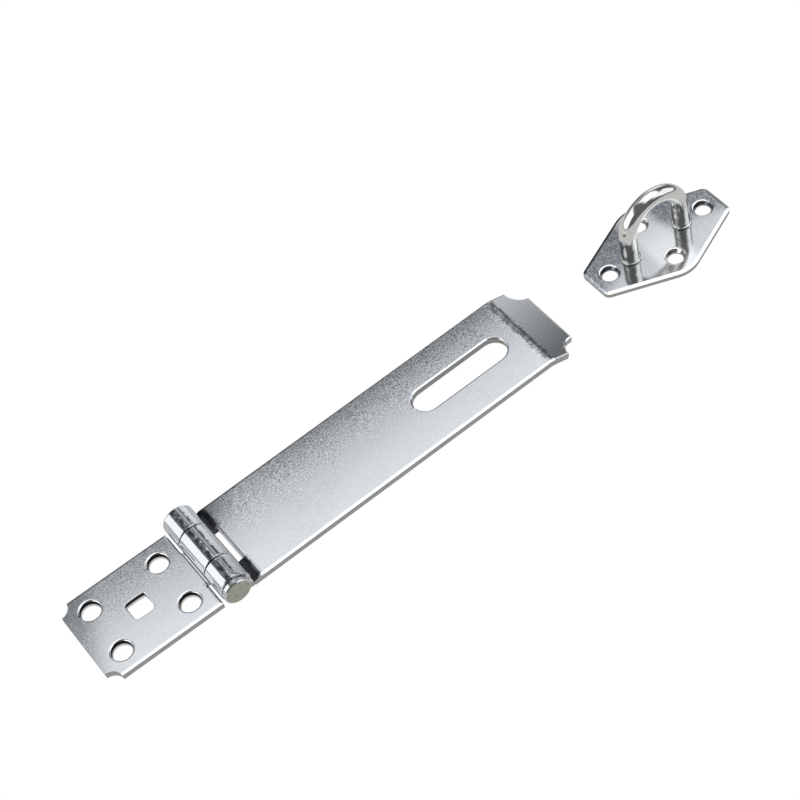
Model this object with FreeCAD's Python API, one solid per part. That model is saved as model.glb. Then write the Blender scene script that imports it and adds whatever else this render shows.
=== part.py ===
import FreeCAD, Part
import math
import os

# Hasp for a padlock with its separate staple, lying on their backs on one flat surface (z = 0).
# Millimetres. +X runs from the hinge along the slotted strap to its tip, +Y across, +Z away from the
# surface. The pieces are drawn with the hinge axis over x = 0 and moved at the end, so that the middle
# of the fixed leaf's screw holes comes to the origin.

V = FreeCAD.Vector

# Sheet and pin
WIDTH = 38.0            # width of the strap and of the fixed leaf
SHEET = 2.8             # thickness of both
PIN_R = 3.22            # radius of the pin's shank
PIN_PLAY = 0.08         # radial running clearance in the middle knuckle
BORE_R = PIN_R + PIN_PLAY
BARREL_R = BORE_R + SHEET
AXIS_Z = BARREL_R       # the backs of both plates are tangent to the bottom of the barrel

# Knuckles
MID_KNUCKLE = 16.1      # length of the fixed leaf's middle knuckle
SIDE_PLAY = 0.35        # gap between neighbouring knuckles
NOTCH_HALF = MID_KNUCKLE / 2.0 + SIDE_PLAY
NOTCH_GAP = 2.7         # between the middle knuckle and the bottom of the strap's notch
NOTCH_X = BARREL_R + NOTCH_GAP
CURL_GAP = 0.35         # a rolled knuckle ends this far above its own plate
CURL_END = math.degrees(math.asin((SHEET + CURL_GAP - AXIS_Z) / BARREL_R))
KNUCKLE_EDGE = 0.35     # broken edges at the inner ends of the knuckles
KNUCKLE_ROUND = 0.6     # rounder edges at the ends of the barrel

# Ends of the pin
GRIP_MARGIN = 2.6       # the shank is swelled tight in the strap's knuckles, but for this much
HEAD_LEDGE = 0.85       # the head is smaller than the barrel by this much all round
HEAD_R = BARREL_R - HEAD_LEDGE
HEAD_T = 2.15
HEAD_BEVEL = 0.40
HEAD_CREASE = 0.30      # bevel on the back of the head, which leaves a crease against the knuckle
HEAD_OFF_X = -0.5       # hammered over, it sits a little beside the axis
HEAD_OFF_Z = -0.2
TAIL_END_R = 4.6        # flat riveted tail at the other end
TAIL_END_T = 0.7

# Fixed leaf
LEAF_GAP = 0.3          # between the barrel and the leaf where the leaf is cut back beside its knuckle
LEAF_CUT = -(BARREL_R + LEAF_GAP)
LEAF_LEN = 45.8
LEAF_END = LEAF_CUT - LEAF_LEN
LEAF_BITE = 4.3         # radius of the bites out of its end corners
SCREW_EDGE = 9.2        # from the end of the leaf to the first pair of screw holes
SCREW_ROOT = 8.4        # from the second pair to the other end of the leaf
SCREW_PITCH_X = LEAF_LEN - SCREW_EDGE - SCREW_ROOT
SCREW_PITCH_Y = 21.2
SCREW_D = 7.3
SCREW_MOUTH_D = 8.1     # the holes widen towards the front face
SCREW_LAND = 1.3        # from this height above the back
SCREW_ROLL = 0.75       # round edge of the mouth
SQUARE = 7.9            # square hole for a carriage bolt, in the middle of the screw holes
SQUARE_R_NEAR = 1.5     # its corners are rounder on one side
SQUARE_R_FAR = 0.5
SQUARE_SWELL = {"+y": 0.25, "+x": 0.40, "-y": 0.20, "-x": 0.05}   # its sides bulge outwards by this much
SCREW_MID_X = LEAF_END + SCREW_EDGE + SCREW_PITCH_X / 2.0

# Loop of the staple
LEG_HALF = 12.1         # half the distance between its legs
BAR_R = 3.25
LOOP_TOP = 25.0         # height of the bar's centre at the top of the loop
TENON_R = 2.7           # the bar is turned down where it goes through the plate
TAIL_R = 3.8            # and spread into a countersink in the back
TAIL_H = 1.1
COLLAR_W = 0.55         # upset ring at the foot of each leg
COLLAR_H = 0.9

# Strap
BEND_X = 137.8          # where the top faces of the strap and of its tip would meet
BEND_DEG = 17.8         # the tip points down by this much
BEND_R = 8.0            # inside radius of the bend
TIP_LEN = 13.55         # from the bend to the end of the tip
TIP_BITE = 6.3          # radius of the bites out of the tip's corners
SLOT_PLAY_X = 10.0      # room for the loop in the slot
SLOT_PLAY_Y = 4.4
SLOT_R = BAR_R + SLOT_PLAY_Y / 2.0
SLOT_LEN = 2.0 * (LEG_HALF + BAR_R) + SLOT_PLAY_X
SLOT_TO_BEND = 7.35     # from the end of the slot to the bend
SLOT_X1 = BEND_X - SLOT_TO_BEND - SLOT_R
SLOT_X0 = BEND_X - SLOT_TO_BEND - SLOT_LEN + SLOT_R
GROOVE_X = 10.0         # a pressed groove beside each knuckle starts this far from the hinge axis
GROOVE_R = 7.0          # and goes down towards the knuckle on this radius
GROOVE_DEG = 20.0       # until it has this slope
GROOVE_END = BARREL_R + 0.05

# Plate of the staple
PLATE_T = 2.2
PLATE_HALF = 29.45      # half length
PLATE_END = 7.1         # half width at the ends
PLATE_MID = 19.95       # half width in the middle, before rounding
PLATE_MID_R = 12.0      # rounding in the middle
PLATE_END_R = 2.6       # rounding of the end corners
PLATE_SCREW_X = 22.2    # the screw holes lie on both diagonals, this far from the middle
PLATE_SCREW_Y = 10.6
PLATE_SCREW_D = 5.8
PLATE_MOUTH_D = 7.5
PLATE_SCREW_LAND = 0.7
STAPLE_GAP = 21.345      # it lies this far beyond the strap's tip
STAPLE_Y = 0.8          # and this far to one side of the strap's centre line
STAPLE_X = BEND_X + TIP_LEN * math.cos(math.radians(BEND_DEG)) + STAPLE_GAP + PLATE_HALF

# Punched edges are drawn down on the front faces: width on the face, depth on the wall, and the radius
# on which the slope leaves the face
SHEET_ROLL = (0.75, 0.40, 0.8)
SLOT_ROLL = (0.45, 0.30, 0.45)
SQUARE_ROLL = (0.25, 0.25, 0.25)
PLATE_ROLL = (1.0, 0.50, 1.0)


def cyl(radius, height, base, axis=V(0, 0, 1)):
    return Part.makeCylinder(radius, height, base, axis)


def arc(centre, radius, a0, a1, a2):
    """Arc in the XZ plane through three angles given in degrees."""
    pts = []
    for a in (a0, a1, a2):
        r = math.radians(a)
        pts.append(V(centre[0] + radius * math.cos(r), 0, centre[1] + radius * math.sin(r)))
    return Part.Arc(*pts).toShape()


def line(a, b):
    return Part.LineSegment(a, b).toShape()


def curl_edges(end_deg):
    """Rolled knuckle: under the pin, up the -X side, over the top and down to end_deg on the +X side."""
    c = (0.0, AXIS_Z)
    e = math.radians(end_deg)
    inner_end = V(BORE_R * math.cos(e), 0, AXIS_Z + BORE_R * math.sin(e))
    outer_end = V(BARREL_R * math.cos(e), 0, AXIS_Z + BARREL_R * math.sin(e))
    return [
        arc(c, BORE_R, 270.0, 180.0, 90.0),
        arc(c, BORE_R, 90.0, (90.0 + end_deg) / 2.0, end_deg),
        line(inner_end, outer_end),
        arc(c, BARREL_R, end_deg, (90.0 + end_deg) / 2.0, 90.0),
        arc(c, BARREL_R, 90.0, 180.0, 270.0),
    ]


def slab(edges, half):
    """Face in the XZ plane from a loop of edges, drawn out to both sides of it."""
    wire = Part.Wire(Part.__sortEdges__(edges))
    face = Part.Face(wire)
    face.translate(V(0, -half, 0))
    return face.extrude(V(0, 2.0 * half, 0))


def edges_where(shape, test):
    found = []
    for e in shape.Edges:
        if e.Degenerated:
            continue
        pts = e.discretize(5)
        if all(test(p) for p in pts):
            found.append(e)
    return found


def break_edges(shape, radius, test):
    picked = edges_where(shape, test)
    return shape.makeFillet(radius, picked)


def draw_down(body, roll, depth, keep=lambda e: True):
    """Draws the punched edges of the front down, as a press does: wide on the face, shallow on the wall.

    depth(p) is how far p lies behind the front; keep(e) says which of the front's edges are meant.
    """
    width, drop, radius = roll

    def at(d):
        return lambda p: abs(depth(p) - d) < 1e-3

    def is_front(face):
        return all(at(0.0)(v.Point) for v in face.Vertexes)

    # the first width goes to the face that comes first in the solid, so the front is put first
    faces = sorted(body.Faces, key=lambda f: 0 if is_front(f) else 1)
    body = Part.makeSolid(Part.makeShell(faces))
    body = body.makeChamfer(width, drop, [e for e in edges_where(body, at(0.0)) if keep(e)])
    return body.makeFillet(radius, [e for e in edges_where(body, at(0.0)) if keep(e)])


# ---------------------------------------------------------------- strap
def strap_flat():
    """The strap with its plate level; the tip is bent down at the far end."""
    b = math.radians(BEND_DEG)
    setback = (BEND_R + SHEET) * math.tan(b / 2.0)
    x0 = BEND_X - setback
    c = (x0, -BEND_R)
    ro, ri = BEND_R + SHEET, BEND_R
    top1 = V(x0 + ro * math.sin(b), 0, c[1] + ro * math.cos(b))
    bot1 = V(x0 + ri * math.sin(b), 0, c[1] + ri * math.cos(b))
    run = TIP_LEN - setback
    step = V(math.cos(b) * run, 0, -math.sin(b) * run)
    edges = curl_edges(CURL_END) + [
        line(V(0, 0, 0), V(x0, 0, 0)),
        arc(c, ri, 90.0, 90.0 - BEND_DEG / 2.0, 90.0 - BEND_DEG),
        line(bot1, bot1 + step),
        line(bot1 + step, top1 + step),
        line(top1 + step, top1),
        arc(c, ro, 90.0 - BEND_DEG, 90.0 - BEND_DEG / 2.0, 90.0),
        line(V(x0, 0, SHEET), V(0, 0, SHEET)),
    ]
    body = slab(edges, WIDTH / 2.0)
    notch = Part.makeBox(BARREL_R + 2.0 + NOTCH_X, 2.0 * NOTCH_HALF, 2.0 * BARREL_R + 2.0,
                         V(-BARREL_R - 2.0, -NOTCH_HALF, -1.0))
    body = body.cut(notch)
    slot = Part.makeBox(SLOT_X1 - SLOT_X0, 2.0 * SLOT_R, SHEET + 2.0, V(SLOT_X0, -SLOT_R, -1.0))
    for x in (SLOT_X0, SLOT_X1):
        slot = slot.fuse(cyl(SLOT_R, SHEET + 2.0, V(x, 0, -1.0)))
    body = body.cut(slot.removeSplitter())
    normal = V(math.sin(b), 0, math.cos(b))
    for side in (-1.0, 1.0):
        corner = top1 + step + V(0, side * WIDTH / 2.0, 0)
        body = body.cut(cyl(TIP_BITE, 3.0 * SHEET, corner - normal * (2.0 * SHEET), normal))
    body = body.removeSplitter()

    # the punched edges are rounded on the front, up to the root of the rolled knuckles
    root = BARREL_R + CURL_GAP
    reach = Part.makeBox(root + 2.0 * BARREL_R, 2.0 * WIDTH, 4.0 * BARREL_R, V(-2.0 * BARREL_R, -WIDTH, -BARREL_R))
    knuckles = body.common(reach)
    flat = body.cut(reach)

    def depth(p):
        q = p - V(c[0], p.y, c[1])
        turned = math.atan2(q.x, q.z)
        if turned <= 1e-6:
            return SHEET - p.z
        return ro - q.Length if turned <= b + 1e-6 else (top1 - p).dot(normal)

    def outline(e):
        box = e.BoundBox
        at_root = box.XLength < 0.01 and abs(box.XMax - root) < 0.01
        across_bend = box.YLength > 0.8 * WIDTH and box.XMax < top1.x + 0.01
        return not at_root and not across_bend

    def slot(e):
        return max(abs(e.BoundBox.YMin), abs(e.BoundBox.YMax)) < SLOT_R + 2.0 * SLOT_ROLL[0]

    flat = draw_down(flat, SLOT_ROLL, depth, slot)
    flat = draw_down(flat, SHEET_ROLL, depth, lambda e: outline(e) and not slot(e))

    def knuckle_end(p, y):
        r = math.hypot(p.x, p.z - AXIS_Z)
        return abs(r - BARREL_R) < 1e-3 and (p.x < 0.01 or p.z > AXIS_Z - 2.0) and abs(abs(p.y) - y) < 1e-3

    knuckles = break_edges(knuckles, KNUCKLE_EDGE, lambda p: knuckle_end(p, NOTCH_HALF))
    knuckles = break_edges(knuckles, KNUCKLE_ROUND, lambda p: knuckle_end(p, WIDTH / 2.0))
    body = knuckles.fuse(flat).removeSplitter()
    for y in (-WIDTH / 2.0, NOTCH_HALF):
        body = body.cut(groove(y, WIDTH / 2.0 - NOTCH_HALF))
    lowest = bot1 + step
    return body, lowest


def groove(y, width):
    """Cutter for the pressed groove in front of a knuckle: a round shoulder, a slope and a steep end."""
    a = math.radians(GROOVE_DEG)
    c = (GROOVE_X, SHEET - GROOVE_R)
    foot = V(c[0] - GROOVE_R * math.sin(a), 0, c[1] + GROOVE_R * math.cos(a))
    run = foot.x - GROOVE_END
    low = V(GROOVE_END, 0, foot.z - run * math.tan(a))
    edges = [
        arc(c, GROOVE_R, 90.0, 90.0 + GROOVE_DEG / 2.0, 90.0 + GROOVE_DEG),
        line(foot, low),
        line(low, V(GROOVE_END, 0, SHEET)),
        line(V(GROOVE_END, 0, SHEET), V(GROOVE_X, 0, SHEET)),
    ]
    face = Part.Face(Part.Wire(Part.__sortEdges__(edges)))
    face.translate(V(0, y, 0))
    return face.extrude(V(0, width, 0))


def rest_tilt(lowest):
    """Angle about the hinge axis that brings the lowest point of the bent tip to the surface."""
    dx, dz = lowest.x, lowest.z - AXIS_Z
    return math.degrees(math.asin(-AXIS_Z / math.hypot(dx, dz)) - math.atan2(dz, dx))


# ---------------------------------------------------------------- fixed leaf
def leaf():
    edges = curl_edges(CURL_END) + [
        line(V(0, 0, 0), V(-LEAF_END, 0, 0)),
        line(V(-LEAF_END, 0, 0), V(-LEAF_END, 0, SHEET)),
        line(V(-LEAF_END, 0, SHEET), V(0, 0, SHEET)),
    ]
    body = slab(edges, WIDTH / 2.0)
    # drawn towards +X like the strap, then turned round to face the other way
    for side in (-1.0, 1.0):
        y0 = MID_KNUCKLE / 2.0 if side > 0 else -WIDTH
        body = body.cut(Part.makeBox(-LEAF_CUT + BARREL_R + 2.0, WIDTH - MID_KNUCKLE / 2.0, 2.0 * BARREL_R + 2.0,
                                     V(-BARREL_R - 2.0, y0, -1.0)))
        body = body.cut(cyl(LEAF_BITE, SHEET + 2.0, V(-LEAF_END, side * WIDTH / 2.0, -1.0)))
    body = body.mirror(V(0, 0, 0), V(1, 0, 0))
    body = body.removeSplitter()

    def outline(e):
        box = e.BoundBox
        beside_knuckle = box.YLength < 1e-3 and abs(abs(box.YMax) - MID_KNUCKLE / 2.0) < 1e-3
        sheared_end = box.XLength < 1e-3 and box.XMax < LEAF_END + 1e-3
        at_bite = box.XMin > LEAF_END - 1e-3 and box.XMax < LEAF_END + LEAF_BITE + SHEET_ROLL[0] + 0.1
        return box.XMax < LEAF_CUT + 1e-3 and not beside_knuckle and not sheared_end and not at_bite

    body = draw_down(body, SHEET_ROLL, lambda p: SHEET - p.z, outline)
    body = break_edges(body, KNUCKLE_EDGE, lambda p: (
        abs(math.hypot(p.x, p.z - AXIS_Z) - BARREL_R) < 1e-3 and (p.x > -0.01 or p.z > AXIS_Z - 2.0)
        and abs(abs(p.y) - MID_KNUCKLE / 2.0) < 1e-3))
    for dx in (-SCREW_PITCH_X / 2.0, SCREW_PITCH_X / 2.0):
        for y in (-SCREW_PITCH_Y / 2.0, SCREW_PITCH_Y / 2.0):
            body = screw_hole(body, SCREW_MID_X + dx, y, SHEET, SCREW_D, SCREW_MOUTH_D, SCREW_LAND)
    return square_hole(body, SCREW_MID_X, 0.0)


def screw_hole(body, x, y, top, d, mouth_d, land):
    """Cuts a round hole that widens from a narrow land at the back to a rounded mouth in the front."""
    run = top - land
    over = 0.2
    grow = (mouth_d - d) / 2.0 * over / run
    hole = cyl(d / 2.0, top + 2.0, V(x, y, -1.0))
    taper = Part.makeCone(d / 2.0, mouth_d / 2.0 + grow, run + over, V(x, y, land), V(0, 0, 1))
    body = body.cut(hole.fuse(taper))
    reach = mouth_d / 2.0 + 0.01
    return break_edges(body, SCREW_ROLL, lambda p: abs(p.z - top) < 1e-3 and math.hypot(p.x - x, p.y - y) < reach)


def square_hole(body, x, y):
    """Cuts a square hole with rounded corners and slightly swelled sides, its mouth drawn down."""
    h = SQUARE / 2.0
    corners = [V(x - h, y - h, -1), V(x + h, y - h, -1), V(x + h, y + h, -1), V(x - h, y + h, -1)]
    swell = [V(0, -SQUARE_SWELL["-y"], 0), V(SQUARE_SWELL["+x"], 0, 0),
             V(0, SQUARE_SWELL["+y"], 0), V(-SQUARE_SWELL["-x"], 0, 0)]
    sides = []
    for i, out in enumerate(swell):
        a, b = corners[i], corners[(i + 1) % 4]
        sides.append(Part.Arc(a, (a + b) * 0.5 + out, b).toShape())
    tool = Part.Face(Part.Wire(sides)).extrude(V(0, 0, SHEET + 2.0))
    for near, radius in ((True, SQUARE_R_NEAR), (False, SQUARE_R_FAR)):
        ends = [c for c in corners if (c.y < y) == near]
        tool = break_edges(tool, radius, lambda p: any(math.hypot(p.x - c.x, p.y - c.y) < 1e-3 for c in ends))
    body = body.cut(tool)
    half = h + max(SQUARE_SWELL.values())

    def mouth(e):
        box = e.BoundBox
        return max(abs(box.XMin - x), abs(box.XMax - x), abs(box.YMin - y), abs(box.YMax - y)) < half + 1.0
    return draw_down(body, SQUARE_ROLL, lambda p: SHEET - p.z, mouth)


# ---------------------------------------------------------------- pin
def pin():
    """Plain shank, swelled at both ends by the riveting, with a flat bevelled head and a low riveted tail."""
    half = WIDTH / 2.0
    grip = half - NOTCH_HALF - GRIP_MARGIN
    y = V(0, 1, 0)
    body = cyl(PIN_R, 2.0 * half, V(0, -half, AXIS_Z), y)
    for side in (-1.0, 1.0):
        start = -half if side < 0 else half - grip
        body = body.fuse(cyl(BORE_R, grip, V(0, start, AXIS_Z), y))
    head = cyl(HEAD_R, HEAD_T, V(HEAD_OFF_X, -half - HEAD_T, AXIS_Z + HEAD_OFF_Z), y)
    for bevel, at in ((HEAD_BEVEL, -half - HEAD_T), (HEAD_CREASE, -half)):
        head = head.makeChamfer(bevel, edges_where(head, lambda p: abs(p.y - at) < 1e-3))
    tail = cyl(TAIL_END_R, TAIL_END_T, V(0, half, AXIS_Z), y)
    tail = break_edges(tail, 0.6 * TAIL_END_T, lambda p: abs(p.y - half - TAIL_END_T) < 1e-3)
    return body.fuse(head).fuse(tail).removeSplitter()


# ---------------------------------------------------------------- staple
def plate():
    """Long six-sided plate with rounded corners, four screw holes and two riveted feet."""
    hl, he, hm = PLATE_HALF, PLATE_END, PLATE_MID
    pts = [V(-hl, -he, 0), V(0, -hm, 0), V(hl, -he, 0), V(hl, he, 0), V(0, hm, 0), V(-hl, he, 0)]
    body = Part.Face(Part.makePolygon(pts + [pts[0]])).extrude(V(0, 0, PLATE_T))
    upright = [e for e in body.Edges if abs(e.Vertexes[0].Z - e.Vertexes[1].Z) > 0.5 * PLATE_T]
    ends = [e for e in upright if abs(e.Vertexes[0].X) > 1.0]
    body = body.makeFillet(PLATE_END_R, ends)
    mids = [e for e in body.Edges if abs(e.Vertexes[0].Z - e.Vertexes[-1].Z) > 0.5 * PLATE_T
            and abs(e.Vertexes[0].X) < 0.01 and abs(e.Vertexes[-1].X) < 0.01]
    body = body.makeFillet(PLATE_MID_R, mids)
    body = draw_down(body, PLATE_ROLL, lambda p: PLATE_T - p.z)
    for x, y in ((-PLATE_SCREW_X, 0.0), (PLATE_SCREW_X, 0.0), (0.0, -PLATE_SCREW_Y), (0.0, PLATE_SCREW_Y)):
        body = screw_hole(body, x, y, PLATE_T, PLATE_SCREW_D, PLATE_MOUTH_D, PLATE_SCREW_LAND)
    for side in (-1.0, 1.0):
        x = side * LEG_HALF
        body = body.cut(cyl(TENON_R, PLATE_T + 2.0, V(x, 0, -1.0)))
        body = body.cut(Part.makeCone(TAIL_R, TENON_R, TAIL_H, V(x, 0, 0), V(0, 0, 1)))
    body.translate(V(STAPLE_X, STAPLE_Y, 0))
    return body


def loop():
    """Round bar bent to a U, its feet turned down, put through the plate and spread in its back."""
    z1 = LOOP_TOP - LEG_HALF
    path = Part.Wire([
        line(V(-LEG_HALF, 0, PLATE_T), V(-LEG_HALF, 0, z1)),
        arc((0.0, z1), LEG_HALF, 180.0, 90.0, 0.0),
        line(V(LEG_HALF, 0, z1), V(LEG_HALF, 0, PLATE_T)),
    ])
    profile = Part.Wire([Part.Circle(V(-LEG_HALF, 0, PLATE_T), V(0, 0, 1), BAR_R).toShape()])
    body = path.makePipeShell([profile], True, True)
    for side in (-1.0, 1.0):
        x = side * LEG_HALF
        collar = cyl(BAR_R + COLLAR_W, COLLAR_H, V(x, 0, PLATE_T))
        collar = collar.makeFillet(0.45 * COLLAR_H, [e for e in collar.Edges if e.BoundBox.ZMin > PLATE_T + COLLAR_H - 1e-3])
        body = body.fuse(collar)
        body = body.fuse(cyl(TENON_R, PLATE_T, V(x, 0, 0)))
        body = body.fuse(Part.makeCone(TAIL_R, TENON_R, TAIL_H, V(x, 0, 0), V(0, 0, 1)))
    body = body.removeSplitter()
    body.translate(V(STAPLE_X, STAPLE_Y, 0))
    return body


def main():
    os.makedirs("parts", exist_ok=True)
    strap, lowest = strap_flat()
    tilt = rest_tilt(lowest)
    print("rest tilt %.4f deg" % tilt)
    # a turn about -Y lifts the +X end
    strap.rotate(V(0, 0, AXIS_Z), V(0, -1, 0), tilt)
    shapes = {
        "fixed_leaf": leaf(),
        "hasp_strap": strap,
        "hinge_pin": pin(),
        "staple_plate": plate(),
        "staple_loop": loop(),
    }
    for name, shape in shapes.items():
        solids = shape.Solids
        if len(solids) != 1:
            raise RuntimeError("%s has %d solids" % (name, len(solids)))
        solid = solids[0]
        solid.translate(V(-SCREW_MID_X, 0, 0))
        if not solid.isValid():
            raise RuntimeError("%s is not valid" % name)
        box = solid.BoundBox
        print("%s volume %.1f x %.2f..%.2f y %.2f..%.2f z %.3f..%.2f" % (
            name, solid.Volume, box.XMin, box.XMax, box.YMin, box.YMax, box.ZMin, box.ZMax))
        solid.exportStep("parts/%s.step" % name)


main()
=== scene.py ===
"""Looks of a zinc-plated hasp and its staple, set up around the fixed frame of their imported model."""

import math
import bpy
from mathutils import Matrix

bl_info = {
    "name": "Zinc-Plated Hasp",
    "version": (1, 0, 0),
    "blender": (4, 5, 0),
    "location": "3D View > Sidebar > Hasp",
    "description": "Finishes a pressed steel hasp, its riveted pin and its staple, and sets up their studio",
    "category": "Object",
}

from functools import reduce

import bpy
from bpy.props import FloatProperty, FloatVectorProperty, PointerProperty, StringProperty
from mathutils import Matrix, Vector

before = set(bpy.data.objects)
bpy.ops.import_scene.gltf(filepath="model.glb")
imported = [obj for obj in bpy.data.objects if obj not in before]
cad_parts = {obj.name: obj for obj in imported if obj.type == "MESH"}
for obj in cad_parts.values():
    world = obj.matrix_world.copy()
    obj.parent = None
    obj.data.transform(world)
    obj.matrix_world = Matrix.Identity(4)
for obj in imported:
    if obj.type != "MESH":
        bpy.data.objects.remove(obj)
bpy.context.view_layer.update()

MM = 0.001
# The camera stands above the near side of the leaf, rolled so that the strap runs up to the right.
CAMERA_PLACE = (-0.073744, -0.449602, 0.623564)
CAMERA_RIGHT = (0.793828, -0.579986, -0.182903)
CAMERA_UP = (0.558451, 0.576142, 0.596820)
CAMERA_LENS, SENSOR_WIDTH = 100.554, 36.0

# Places on the part, in mm: the hinge's axis and the knuckles' outer radius, the pressed grooves in front of
# the strap's knuckles, the half width of its notch, a place before its slot, the half width of the slot with
# its rolled edges, and the strap's bend.
HINGE_X, HINGE_Z, KNUCKLE_R = 28.9, 6.1, 6.1
GROOVE_FROM, GROOVE_TO = HINGE_X + 6.0, HINGE_X + 10.0
NOTCH_HALF = 8.4
BEFORE_SLOT, SLOT_HALF = 110.0, 6.6
BEND_AT = 166.6
# the leaf's screw holes and its square hole: distances from the middle, and how far the hole's mouth reaches
LEAF_HOLES = ((14.1, 10.6, 4.8), (0.0, 0.0, 6.4))
PLATE_MIDDLE = (230.4, 0.8)
FLOOR_DROP = 0.1

# Colours laid on the plating, as sRGB hex. Grain, punch streaks and dents are the metal's own; the rest are
# painted shade, painted highlights and painted sparkle.
WHITE = "#FFFFFF"
GRAIN_DARK, SPARKLE_SHADE, CLOUD_SHADE = "#808488", "#6C7074", "#8C9296"
EDGE_SHADE, DEEP_SHADE, MOUTH_SHADE = "#26292C", "#1E2126", "#1C1F22"
KNUCKLE_SHADE, BEND_SHADE, SLOT_SHADE, CORNER_SHADE = "#46484A", "#5C5E60", "#5E6062", "#50555A"
STREAK_DARK, BORE_HIGHLIGHT = "#6A6A6A", "#E8E8E6"
FOOT_SHADE, DENT_DARK = "#4E5356", "#5C5C54"

# How much rougher the sheared sides are than the faces, and the roughness of the pin's bevel and how much
# rougher its hammered flat is.
SIDE_ROUGHER = 0.25
BEVEL_ROUGHNESS, FLAT_ROUGHER = 0.12, 0.36

# Depths of the relief, in mm.
GRAIN_DEPTH, SCRATCH_DEPTH, CREASE_DEPTH, STREAK_DEPTH = 0.0030, 0.0006, 0.045, 0.03
BAR_WAVE_DEPTH, BAR_GRAIN_DEPTH = 0.10, 0.002
DENT_DEPTH, GRIT_DEPTH = 0.03, 0.006

# Hair scratches: direction in radians, length and width in mm.
SCRATCHES = ((0.95, 5.0, 0.15), (-0.5, 4.0, 0.14), (2.2, 4.0, 0.14))

# Bright fields of the studio: brightness, then from and to, each with its soft end, along one direction and
# along another. theta is the angle from straight up towards +X in the XZ plane, in degrees, and side is the
# direction's Y part. askew is side, shifted and turned a little by theta, and the leans are theta turned by
# side.
STUDIO_BASE = 0.13
ASKEW_SHIFT, ASKEW_TURN = 0.0052, 0.0021
LEANS = {"left lean": -12.0, "right lean": 12.0, "low lean": -35.0}
STUDIO_FIELDS = (
    ("pale far wall", 0.50, "theta", (-130, -120), (120, 130), "side", (0.60, 0.68), (0.86, 0.94)),
    ("right reflector", 0.97, "theta", (38, 48), (108, 120), "side", (0.535, 0.60), (0.85, 1.00)),
    ("pale right wall", 0.40, "theta", (82, 92), (108, 120), "side", (-0.80, -0.60), (0.50, 0.60)),
    ("rim behind the box", 0.52, "theta", (12, 18), (33, 39), "askew", (0.616, 0.630), (0.76, 0.80)),
    ("overhead box", 0.73, "right lean", (-14, -8), (36, 42), "askew", (-0.66, -0.54), (0.600, 0.615)),
    ("its inside", 1.10, "right lean", (-14, -8), (36, 42), "askew", (-0.66, -0.54), (0.574, 0.606)),
    ("its middle", 1.28, "right lean", (-8, -2), (34, 42), "side", (-0.60, -0.45), (0.30, 0.50)),
    ("its clipped corner", 0.46, "theta", (-6, 0), (7, 11), "side", (0.588, 0.602), (0.68, 0.74)),
    ("dark card behind", 0.22, "theta", (-44, -38), (0, 6), "side", (0.52, 0.56), (0.68, 0.74)),
    ("left box", 1.35, "left lean", (-120, -100), (-46, -40), "side", (-0.46, -0.32), (0.60, 0.84)),
    ("low right box", 1.15, "low lean", (52, 62), (104, 112), "side", (-0.84, -0.76), (-0.10, 0.10)),
)
ROOM_SEEN = 1.02

# The paper floor: its white, how much of it the eye sees through, its grey where metal mirrors it, near the
# part and beyond the sheet, the radii in metres between which that fades, and the middle of the set.
PAPER_WHITE, PAPER_SEEN_THROUGH = 0.80, 0.97
PAPER_NEAR, PAPER_BEYOND = 0.64, 0.05
PAPER_FADE = (0.16, 0.55)
SET_MIDDLE = (0.12, 0.0, 0.0)


# ---------------------------------------------------------------- helpers
def linear(hex_colour):
    """sRGB hex such as '#C8CCD0' to linear RGBA."""
    parts = [int(hex_colour[i:i + 2], 16) / 255.0 for i in (1, 3, 5)]
    return tuple(c / 12.92 if c <= 0.04045 else ((c + 0.055) / 1.055) ** 2.4 for c in parts) + (1.0,)


def add(tree, kind, inputs=(), **settings):
    """One node of a tree. inputs maps a socket's name or number to a value or to the socket that feeds it."""
    made = tree.nodes.new(kind)
    for key, value in settings.items():
        setattr(made, key, value)
    for key, value in dict(inputs).items():
        if isinstance(value, bpy.types.NodeSocket):
            tree.links.new(value, made.inputs[key])
        else:
            made.inputs[key].default_value = value
    return made


def ramp(tree, value, low, high, out_low=0.0, out_high=1.0):
    """Smooth step of a value: out_low at low, out_high at high, level outside."""
    return add(tree, "ShaderNodeMapRange", {0: value, 1: low, 2: high, 3: out_low, 4: out_high},
               interpolation_type="SMOOTHSTEP").outputs[0]


def calc(tree, operation, *values):
    """A math node of the given operation."""
    return add(tree, "ShaderNodeMath", dict(enumerate(values)), operation=operation).outputs[0]


def product(tree, *values):
    """All values multiplied."""
    return reduce(lambda a, b: calc(tree, "MULTIPLY", a, b), values)


def most(tree, *values):
    """The largest of the values."""
    return reduce(lambda a, b: calc(tree, "MAXIMUM", a, b), values)


def lean(tree, value, other, amount):
    """A value shifted by another times an amount."""
    return calc(tree, "ADD", value, calc(tree, "MULTIPLY", other, amount))


def band(tree, value, rise, fall):
    """1 between two soft ends, 0 outside them."""
    return product(tree, ramp(tree, value, *rise), ramp(tree, value, fall[1], fall[0]))


def tint(tree, share, under, over):
    """One colour laid over another by a share. Each is a socket, an RGBA or an sRGB hex."""
    under, over = (linear(c) if isinstance(c, str) else c for c in (under, over))
    return add(tree, "ShaderNodeMix", {0: share, 6: under, 7: over}, data_type="RGBA").outputs[2]


def noise(tree, place, size, detail, roughness=0.5, turn=0.0):
    """Noise with grains of the given size in mm, one number or one for each axis, turned about Z."""
    sizes = size if isinstance(size, tuple) else (size,) * 3
    scaled = add(tree, "ShaderNodeMapping", {"Vector": place, "Rotation": (0.0, 0.0, turn),
                                             "Scale": tuple(1.0 / (length * MM) for length in sizes)})
    return add(tree, "ShaderNodeTexNoise", {"Vector": scaled.outputs[0], "Scale": 1.0, "Detail": detail,
                                            "Roughness": roughness}).outputs[0]


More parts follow.
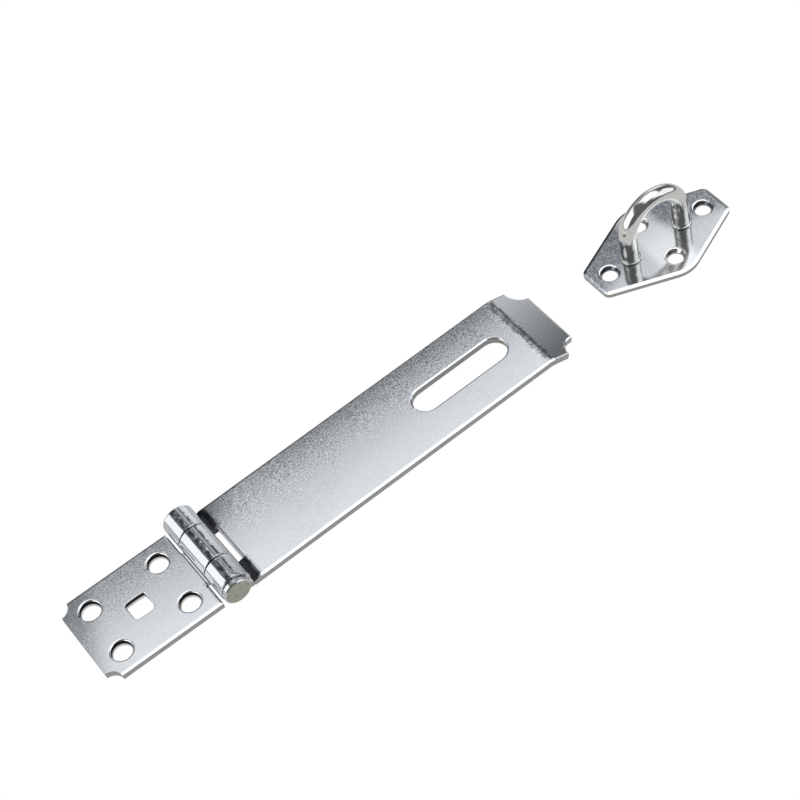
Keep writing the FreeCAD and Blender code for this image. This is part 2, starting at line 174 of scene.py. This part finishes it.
def relief(tree, normal, *layers):
    """Bump layers, each a height and a depth in mm, on a normal or, where it is None, on the mesh's own."""
    for height, depth in layers:
        inputs = {"Height": height, "Strength": 1.0, "Distance": depth * MM}
        if normal is not None:
            inputs["Normal"] = normal
        normal = add(tree, "ShaderNodeBump", inputs).outputs[0]
    return normal


def bare_metal(tree, colour, gloss, normal):
    """The tree's surface."""
    skin = add(tree, "ShaderNodeBsdfPrincipled", {"Base Color": colour, "Metallic": 1.0, "Roughness": gloss,
                                                  "Normal": normal})
    add(tree, "ShaderNodeOutputMaterial", {"Surface": skin.outputs[0]})


def new_tree(name):
    """A material with an empty tree."""
    mat = bpy.data.materials.new(name)
    mat.use_nodes = True
    mat.node_tree.nodes.clear()
    return mat, mat.node_tree


# ---------------------------------------------------------------- finishes
class Sheet:
    """Sockets that the steps of a sheet's finish share. Lengths are in mm, in the part's frame.

    level is 1 on level faces and 0 on upright ones. knuckle, plain and wall are masks of the rolled
    knuckles, of all the rest, and of the rest's sheared sides.
    """

    def __init__(self, tree, middle, hinged):
        coord = add(tree, "ShaderNodeTexCoord")
        self.tree = tree
        self.place = coord.outputs["Object"]
        in_mm = add(tree, "ShaderNodeVectorMath", {0: self.place, 1: (1.0 / MM,) * 3},
                    operation="MULTIPLY").outputs[0]
        self.x, self.y, self.z = add(tree, "ShaderNodeSeparateXYZ", {0: in_mm}).outputs
        self.from_middle_x = calc(tree, "SUBTRACT", self.x, middle[0])
        self.from_middle_y = calc(tree, "SUBTRACT", self.y, middle[1])
        facing = add(tree, "ShaderNodeSeparateXYZ", {0: coord.outputs["Normal"]})
        self.faces_x, self.faces_y, self.faces_z = facing.outputs
        self.level = calc(tree, "ABSOLUTE", self.faces_z)
        self.knuckle = 0.0
        if hinged:
            on_axis = add(tree, "ShaderNodeCombineXYZ", {0: HINGE_X, 1: self.y, 2: HINGE_Z})
            off_axis = add(tree, "ShaderNodeVectorMath", {0: in_mm, 1: on_axis.outputs[0]},
                           operation="DISTANCE").outputs["Value"]
            self.knuckle = ramp(tree, off_axis, KNUCKLE_R + 0.3, KNUCKLE_R + 0.05)
        self.plain = calc(tree, "SUBTRACT", 1.0, self.knuckle)
        self.wall = product(tree, ramp(tree, self.level, 0.30, 0.10), self.plain)


def hair_scratches(s):
    """Hair scratches on the flats, in patches: noise drawn out one way and cut to its thin crests."""
    t = s.tree
    hairs = [ramp(t, noise(t, s.place, (length, width, 8.0), 0.0, turn=turn), 0.73, 0.76)
             for turn, length, width in SCRATCHES]
    patch = noise(t, s.place, 22.0, 1.0, 0.55)
    return product(t, most(t, *hairs), ramp(t, s.level, 0.97, 0.995), ramp(t, patch, 0.48, 0.62))


def far_wear_and_sparkle(s, face, lines, worn, scratches, painted_sparkle, strap):
    """Plating scratched towards the far edge, with dark and white specks painted there as sparkle of mirrored
    light on the grain, but not beyond the strap's bend.
    """
    t = s.tree
    far = product(t, ramp(t, s.y, -9.0, 19.0), s.plain)
    if strap:
        far = product(t, far, ramp(t, s.x, BEND_AT + 2.0, BEND_AT + 1.0))
    sparkle_grain = noise(t, s.place, 0.45, 1.0, 0.55)
    face = tint(t, product(t, far, lines, 0.45 * scratches), face, worn)
    # painted sparkle: dark and white specks on the real grain stand in for mirrored light
    face = tint(t, product(t, far, ramp(t, sparkle_grain, 0.46, 0.30), painted_sparkle), face, SPARKLE_SHADE)
    return tint(t, product(t, far, ramp(t, sparkle_grain, 0.54, 0.70), painted_sparkle), face, WHITE)


def painted_shade_clouds(s, face, along, across, low, high, amount=1.0, both_ends=False):
    """Mottled painted shade, standing in for the mirrored dark of the studio, that sets in between two
    distances from the middle, low and high.

    along and across weigh the two directions, so a negative along darkens the end towards -X. A plate that is
    shaded at both ends gets a painted highlight between the bar's legs.
    """
    t = s.tree
    from_end = calc(t, "ABSOLUTE", s.from_middle_x) if both_ends else s.from_middle_x
    distance = lean(t, calc(t, "MULTIPLY", from_end, along), s.from_middle_y, across)
    uneven = ramp(t, noise(t, s.place, 0.9, 2.0, 0.55), 0.36, 0.60, 0.45, 1.0)
    face = tint(t, product(t, ramp(t, distance, low, high), uneven, amount), face, CLOUD_SHADE)
    if both_ends:
        # painted highlight on the plate between the bar's legs
        face = tint(t, ramp(t, from_end, 9.0, 4.0, 0.0, 0.8), face, WHITE)
    return face


def edge_highlight_and_shade(s, face):
    """Rolled edges: a painted highlight on the near ones above a painted dark line, and painted shade on the
    far ones.
    """
    t = s.tree
    near_highlight = product(t, ramp(t, s.level, 0.50, 0.60), ramp(t, s.faces_y, -0.06, -0.16), s.plain, 0.8)
    face = tint(t, near_highlight, face, WHITE)
    # painted shade on the far edges and in a line under the near edges' painted highlight
    dark = most(t, ramp(t, s.faces_y, 0.18, 0.40),
                product(t, ramp(t, s.level, 0.52, 0.42), ramp(t, s.faces_y, -0.4, -0.6)))
    return tint(t, product(t, dark, s.plain, 0.85), face, EDGE_SHADE)


def knuckle_shade_bands(s, face, crease):
    """Painted dark reflection in two bands along the knuckles' crown, set by which way the crown faces and
    broken up by crease noise.
    """
    t = s.tree
    crown = most(t, band(t, s.faces_x, (-0.36, -0.24), (-0.02, 0.08)),
                 band(t, s.faces_x, (0.20, 0.26), (0.34, 0.42)))
    return tint(t, product(t, s.knuckle, crown, ramp(t, crease, 0.40, 0.56), 0.85), face, KNUCKLE_SHADE)


def strap_painted_light(s, face, side, crease, bend):
    """Painted shade and painted highlights of the strap's grooves, slot, notch and bend, on its faces and
    sheared sides.
    """
    t = s.tree
    off_middle = calc(t, "ABSOLUTE", s.y)
    # painted shade on the face beside the far groove
    corner = product(t, ramp(t, s.x, GROOVE_FROM, GROOVE_FROM + 1.0),
                     ramp(t, s.x, GROOVE_TO + 13.0, GROOVE_TO), ramp(t, s.y, 2.0, 18.0), 0.6)
    face = tint(t, corner, face, CORNER_SHADE)
    # painted shade in the grooves in front of the knuckles
    groove_shade = product(t, ramp(t, s.x, GROOVE_FROM, GROOVE_FROM + 0.3),
                     ramp(t, lean(t, s.x, crease, 4.0), GROOVE_TO + 3.2, GROOVE_TO + 0.6),
                     ramp(t, off_middle, NOTCH_HALF - 0.1, NOTCH_HALF), ramp(t, s.z, 1.0, 1.2), 0.90)
    face = tint(t, groove_shade, face, DEEP_SHADE)
    # painted dark reflection across the bend, broken up by crease noise
    face = tint(t, product(t, bend, ramp(t, crease, 0.44, 0.60), 0.55), face, BEND_SHADE)

    # painted shade on the slot's sheared sides
    slot_shade = product(t, ramp(t, off_middle, SLOT_HALF + 0.4, SLOT_HALF),
                      ramp(t, s.x, BEFORE_SLOT, BEFORE_SLOT + 0.5), 0.30)
    side = tint(t, slot_shade, side, SLOT_SHADE)
    # painted highlight on the notch's sides that face the knuckle, painted shade on its far side
    in_notch = ramp(t, s.x, GROOVE_TO + 4.0, GROOVE_TO + 3.0)
    side = tint(t, product(t, in_notch, ramp(t, s.faces_x, -0.5, -0.7)), side, WHITE)
    far_side_shade = product(t, in_notch, ramp(t, s.faces_y, -0.5, -0.7), ramp(t, s.y, 0.0, NOTCH_HALF), 0.9)
    return face, tint(t, far_side_shade, side, DEEP_SHADE)


def screw_holes(s, side, holes):
    """Bores on all four sides of the middle, with painted shade under their mouths and a painted highlight
    below.

    Gives where they are and the colour of the sheared sides with them.
    """
    t = s.tree
    folded = add(t, "ShaderNodeCombineXYZ", {0: calc(t, "ABSOLUTE", s.from_middle_x),
                                             1: calc(t, "ABSOLUTE", s.from_middle_y)}).outputs[0]
    inside = []
    for hole_x, hole_y, reach in holes:
        off = add(t, "ShaderNodeVectorMath", {0: folded, 1: (hole_x, hole_y, 0.0)}, operation="DISTANCE")
        inside.append(ramp(t, off.outputs["Value"], reach, reach - 0.2))
    steep = product(t, most(t, *inside), ramp(t, s.level, 0.62, 0.42))
    # painted shade under the mouths, painted highlight lower down the bores
    bore_light = tint(t, ramp(t, s.z, 0.95, 1.2), BORE_HIGHLIGHT, MOUTH_SHADE)
    return steep, tint(t, steep, side, bore_light)


def rounder_normal(s, rounding):
    """The mesh's normal with the end edges rounder by a share, and the near edges straighter."""
    t = s.tree
    end_on = ramp(t, calc(t, "ABSOLUTE", s.faces_y), 0.25, 0.10)
    side_on = ramp(t, s.faces_y, -0.30, -0.15, -0.8, 0.0)
    outward = product(t, s.faces_x, ramp(t, s.level, 0.6, 0.7), rounding, calc(t, "ADD", end_on, side_on))
    turned = add(t, "ShaderNodeCombineXYZ", {0: calc(t, "ADD", s.faces_x, outward), 1: s.faces_y,
                                             2: s.faces_z}).outputs[0]
    return add(t, "ShaderNodeVectorTransform", {0: turned}, vector_type="NORMAL", convert_from="OBJECT",
               convert_to="WORLD").outputs[0]


def rolled_sheet_zinc(name, colours, grain=1.0, painted_sparkle=1.0, scratches=1.0, hinged=True, strap=False,
                      holes=(), middle=(0.0, 0.0), shade_clouds=None, rounding=0.0, roughness=0.045):
    """Bright zinc on rolled steel sheet.

    To the eye it is a cold grey mirror with a fine frost of plating grain. The grain tilts the mirror by a
    fraction of a degree, so it shows as sparkle where the edge of a soft box is mirrored, and hardly at all
    in the middle of a bright field. Towards the far edge the plating has hair scratches, and that sparkle is
    also painted on the grain as dark and white specks. Sheared sides are dull and a little brown, with lines
    drawn down by the punch. Where the sheet was rolled into a knuckle or bent, the plating is creased in the
    relief, and painted shade lies on the knuckles, the bend, the grooves, the bores and the far edges, with
    painted highlights on the near edges, the notch and the bores.

    grain, painted_sparkle and scratches weigh those marks. hinged and strap say which forms the sheet has.
    holes are (x, y, reach) from the middle, shade_clouds holds the measures of painted_shade_clouds(), and
    rounding is how much the end edges are rounder than the mesh.
    """
    mat, t = new_tree(name)
    s = Sheet(t, middle, hinged)
    fine = noise(t, s.place, 0.6, 1.0, 0.55)
    streak = noise(t, s.place, (0.35, 0.35, 3.0), 2.0)
    crease = noise(t, s.place, (1.2, 2.4, 1.2), 3.0, 0.6)
    lines = hair_scratches(s)

    side = tint(t, ramp(t, streak, 0.35, 0.65, 0.85, 1.0), STREAK_DARK, colours.edge)
    face = tint(t, ramp(t, fine, 0.35, 0.6, 0.90, 1.0), GRAIN_DARK, colours.zinc)
    face = far_wear_and_sparkle(s, face, lines, colours.worn, scratches, painted_sparkle, strap)
    if shade_clouds:
        face = painted_shade_clouds(s, face, **shade_clouds)
    face = edge_highlight_and_shade(s, face)
    wall, worked = s.wall, 0.0
    if hinged:
        face = knuckle_shade_bands(s, face, crease)
        worked = product(t, s.knuckle, 0.35)
    if strap:
        bend = band(t, s.x, (BEND_AT - 3.0, BEND_AT - 1.5), (BEND_AT + 0.8, BEND_AT + 2.0))
        face, side = strap_painted_light(s, face, side, crease, bend)
        worked = most(t, worked, product(t, bend, 0.8))
    if holes:
        steep, side = screw_holes(s, side, holes)
        wall = most(t, wall, steep)

    normal = relief(t, rounder_normal(s, rounding) if rounding else None,
                    (fine, GRAIN_DEPTH * grain), (product(t, lines, -1.0), SCRATCH_DEPTH * scratches),
                    (product(t, crease, worked), CREASE_DEPTH), (product(t, streak, wall), STREAK_DEPTH))
    bare_metal(t, tint(t, wall, face, side), lean(t, roughness, wall, SIDE_ROUGHER), normal)
    return mat


def drawn_bar_zinc(name, colour, roughness=0.12):
    """Bright zinc on a drawn and bent bar: almost a mirror, slightly wavy from the bending, with painted
    shade at its feet.
    """
    mat, t = new_tree(name)
    place = add(t, "ShaderNodeTexCoord").outputs["Object"]
    wave, fine = noise(t, place, 3.5, 1.0), noise(t, place, 0.6, 1.0)
    height = calc(t, "DIVIDE", add(t, "ShaderNodeSeparateXYZ", {0: place}).outputs[2], MM)
    # painted shade at the feet, where the bar meets the plate
    foot_shade = ramp(t, lean(t, height, fine, 1.2), 2.7, 3.7, 0.85, 0.0)
    bare_metal(t, tint(t, foot_shade, colour, FOOT_SHADE), roughness,
               relief(t, None, (wave, BAR_WAVE_DEPTH), (fine, BAR_GRAIN_DEPTH)))
    return mat


def dull_riveted_steel(name, bright, dull):
    """Riveted head: its hammered flat is matt and slightly yellow, its bevel has kept the bright zinc."""
    mat, t = new_tree(name)
    coord = add(t, "ShaderNodeTexCoord")
    place = coord.outputs["Object"]
    facing = add(t, "ShaderNodeSeparateXYZ", {0: coord.outputs["Normal"]})
    flat = ramp(t, calc(t, "ABSOLUTE", facing.outputs[1]), 0.90, 0.97)
    dents, grit = noise(t, place, 1.8, 3.0, 0.6), noise(t, place, 0.4, 1.0)
    matt = tint(t, ramp(t, dents, 0.35, 0.65, 0.78, 1.0), DENT_DARK, dull)
    bare_metal(t, tint(t, flat, bright, matt), lean(t, BEVEL_ROUGHNESS, flat, FLAT_ROUGHER),
               relief(t, None, (product(t, dents, flat), DENT_DEPTH), (grit, GRIT_DEPTH)))
    return mat


def paper_floor(name):
    """A lit sheet of thin white paper: pure white to the eye with the faintest shadow.

    The eye sees through it to the white room, so a strap that hangs down past it still shows. Where metal
    mirrors it, it is a grey that fades to the dark room beyond the sheet.
    """
    mat, t = new_tree(name)
    path = add(t, "ShaderNodeLightPath")
    place = add(t, "ShaderNodeTexCoord").outputs["Object"]
    from_middle = add(t, "ShaderNodeVectorMath", {0: place, 1: SET_MIDDLE}, operation="DISTANCE")
    mirrored = ramp(t, from_middle.outputs["Value"], *PAPER_FADE, PAPER_NEAR, PAPER_BEYOND)
    paper = add(t, "ShaderNodeBsdfDiffuse", {"Color": (PAPER_WHITE, PAPER_WHITE, PAPER_WHITE, 1.0)})
    clear = add(t, "ShaderNodeBsdfTransparent", {"Color": linear(WHITE)})
    grey = add(t, "ShaderNodeEmission", {"Color": linear(WHITE), "Strength": mirrored})
    see_through = product(t, path.outputs["Is Camera Ray"], PAPER_SEEN_THROUGH)
    seen = add(t, "ShaderNodeMixShader", {0: see_through, 1: paper.outputs[0], 2: clear.outputs[0]})
    mixed = add(t, "ShaderNodeMixShader", {0: path.outputs["Is Glossy Ray"], 1: seen.outputs[0],
                                           2: grey.outputs[0]})
    add(t, "ShaderNodeOutputMaterial", {"Surface": mixed.outputs[0]})
    return mat


def give(node, mat):
    """The finish goes into every material slot of a CAD node."""
    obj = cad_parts[node]
    if not obj.material_slots:
        obj.data.materials.append(mat)
    for slot in obj.material_slots:
        slot.material = mat


def studio_light(world, level):
    """Soft boxes as bright fields of the surroundings, which the flat and rolled faces mirror."""
    world.use_nodes = True
    t = world.node_tree
    t.nodes.clear()
    part = add(t, "ShaderNodeSeparateXYZ", {0: add(t, "ShaderNodeTexCoord").outputs["Generated"]})
    side = part.outputs[1]
    theta = calc(t, "MULTIPLY", calc(t, "ARCTAN2", part.outputs[0], part.outputs[2]), 180.0 / math.pi)
    directions = {"theta": theta, "side": side,
                  "askew": lean(t, calc(t, "SUBTRACT", side, ASKEW_SHIFT), theta, ASKEW_TURN)}
    directions.update((way, lean(t, theta, side, amount)) for way, amount in LEANS.items())

    def grey(v, cold=0.03):
        return (v * (1.0 - cold), v, v * (1.0 + cold), 1.0)

    colour = grey(STUDIO_BASE)
    for field, bright, along, along_from, along_to, across, across_from, across_to in STUDIO_FIELDS:
        mask = product(t, band(t, directions[along], along_from, along_to),
                       band(t, directions[across], across_from, across_to))
        colour = tint(t, mask, colour, grey(bright))
        colour.node.label = field
    path = add(t, "ShaderNodeLightPath")
    lit = add(t, "ShaderNodeBackground", {"Color": colour, "Strength": level})
    seen = add(t, "ShaderNodeBackground", {"Color": linear(WHITE), "Strength": ROOM_SEEN})
    mixed = add(t, "ShaderNodeMixShader", {0: path.outputs["Is Camera Ray"], 1: lit.outputs[0],
                                           2: seen.outputs[0]})
    add(t, "ShaderNodeOutputWorld", {"Surface": mixed.outputs[0]})


# ---------------------------------------------------------------- settings
class HaspFinishSettings(bpy.types.PropertyGroup):
    """Colours of the plating."""
    zinc: StringProperty(name="Zinc", description="Bright plating of the sheet, as sRGB hex",
                         default="#DADCDE")
    edge: StringProperty(name="Sheared edge", description="Sides left by shear and punch, as sRGB hex",
                         default="#B6B6B3")
    worn: StringProperty(name="Scratches", description="Hair scratches, as sRGB hex",
                         default="#5A5E63")
    bar: StringProperty(name="Bar", description="Bright plating of the bent bar, as sRGB hex",
                        default="#E6E6E2")
    rivet: StringProperty(name="Rivet head", description="Dull flat of the pin's head, as sRGB hex",
                          default="#C2C1B5")


class HaspStageSettings(bpy.types.PropertyGroup):
    """Camera and light."""
    lens: FloatProperty(name="Lens", description="Focal length on a 36 mm sensor",
                        default=CAMERA_LENS, min=10.0, unit="CAMERA")
    place: FloatVectorProperty(name="Camera place", description="Where the camera stands",
                               default=CAMERA_PLACE, subtype="XYZ", unit="LENGTH")
    studio_level: FloatProperty(name="Studio level", description="Brightness of the surroundings",
                                default=1.0, min=0.0)
    floor_half: FloatProperty(name="Floor", description="Half the side of the paper floor",
                              default=4.0, min=0.5, unit="LENGTH")


# ---------------------------------------------------------------- operators
class HASP_OT_leaf(bpy.types.Operator):
    """Finish the fixed leaf with its middle knuckle"""
    bl_idname = "hasp.leaf"
    bl_label = "Fixed Leaf"

    def execute(self, context):
        give("fixed_leaf", rolled_sheet_zinc(
            "Bright zinc on rolled sheet, leaf", context.scene.hasp_finish, scratches=0.6, holes=LEAF_HOLES,
            shade_clouds={"along": -1.0, "across": 0.4, "low": 13.0, "high": 24.0, "amount": 0.8}))
        return {"FINISHED"}


class HASP_OT_strap(bpy.types.Operator):
    """Finish the slotted strap with its two knuckles"""
    bl_idname = "hasp.strap"
    bl_label = "Slotted Strap"

    def execute(self, context):
        give("hasp_strap", rolled_sheet_zinc(
            "Bright zinc on rolled sheet, strap", context.scene.hasp_finish, painted_sparkle=1.4, strap=True))
        return {"FINISHED"}


class HASP_OT_pin(bpy.types.Operator):
    """Finish the riveted hinge pin"""
    bl_idname = "hasp.pin"
    bl_label = "Hinge Pin"

    def execute(self, context):
        s = context.scene.hasp_finish
        give("hinge_pin", dull_riveted_steel("Dull zinc on riveted steel", s.zinc, s.rivet))
        return {"FINISHED"}


class HASP_OT_staple(bpy.types.Operator):
    """Finish the staple's plate and its bent bar"""
    bl_idname = "hasp.staple"
    bl_label = "Staple"

    def execute(self, context):
        s = context.scene.hasp_finish
        give("staple_plate", rolled_sheet_zinc(
            "Bright zinc on rolled sheet, staple", s, grain=1.5, painted_sparkle=1.5, scratches=0.4, hinged=False,
            middle=PLATE_MIDDLE, rounding=1.0, roughness=0.10,
            shade_clouds={"along": 0.40, "across": 1.0, "low": 2.0, "high": 9.5, "both_ends": True}))
        give("staple_loop", drawn_bar_zinc("Bright zinc on drawn bar", s.bar))
        return {"FINISHED"}


class HASP_OT_stage(bpy.types.Operator):
    """Lay the paper floor, light the studio and place the camera"""
    bl_idname = "hasp.stage"
    bl_label = "Stage"

    def execute(self, context):
        s = context.scene.hasp_stage
        scene = context.scene
        h = s.floor_half
        mesh = bpy.data.meshes.new("paper_floor")
        below = -FLOOR_DROP * MM
        mesh.from_pydata([(-h, -h, below), (h, -h, below), (h, h, below), (-h, h, below)], [], [(0, 1, 2, 3)])
        floor = bpy.data.objects.new("paper_floor", mesh)
        scene.collection.objects.link(floor)
        floor.data.materials.append(paper_floor("White paper"))
        scene.world = bpy.data.worlds.new("Studio")
        studio_light(scene.world, s.studio_level)

        data = bpy.data.cameras.new("camera")
        data.lens = s.lens
        data.sensor_width = SENSOR_WIDTH
        data.clip_start = 0.01
        data.clip_end = 50.0
        camera = bpy.data.objects.new("camera", data)
        right, up = Vector(CAMERA_RIGHT).normalized(), Vector(CAMERA_UP).normalized()
        turn = Matrix((right, up, right.cross(up))).transposed().to_4x4()
        camera.matrix_world = Matrix.Translation(Vector(s.place)) @ turn
        scene.collection.objects.link(camera)
        scene.camera = camera
        scene.view_settings.view_transform = "Standard"
        return {"FINISHED"}


class HASP_PT_panel(bpy.types.Panel):
    """Steps that finish the hasp, in order"""
    bl_label = "Zinc-Plated Hasp"
    bl_idname = "HASP_PT_panel"
    bl_space_type = "VIEW_3D"
    bl_region_type = "UI"
    bl_category = "Hasp"

    def draw(self, context):
        column = self.layout.column(align=True)
        for step in STEPS:
            column.operator(step.bl_idname)
        for group in (context.scene.hasp_finish, context.scene.hasp_stage):
            box = self.layout.box()
            for key in group.__annotations__:
                box.prop(group, key)


STEPS = (HASP_OT_leaf, HASP_OT_strap, HASP_OT_pin, HASP_OT_staple, HASP_OT_stage)
CLASSES = (HaspFinishSettings, HaspStageSettings) + STEPS + (HASP_PT_panel,)


def register():
    for cls in CLASSES:
        bpy.utils.register_class(cls)
    bpy.types.Scene.hasp_finish = PointerProperty(type=HaspFinishSettings)
    bpy.types.Scene.hasp_stage = PointerProperty(type=HaspStageSettings)


def unregister():
    del bpy.types.Scene.hasp_stage
    del bpy.types.Scene.hasp_finish
    for cls in reversed(CLASSES):
        bpy.utils.unregister_class(cls)


def main():
    """Register the add-on and run its steps."""
    register()
    bpy.ops.hasp.leaf()
    bpy.ops.hasp.strap()
    bpy.ops.hasp.pin()
    bpy.ops.hasp.staple()
    bpy.ops.hasp.stage()


if __name__ == "__main__":
    main()
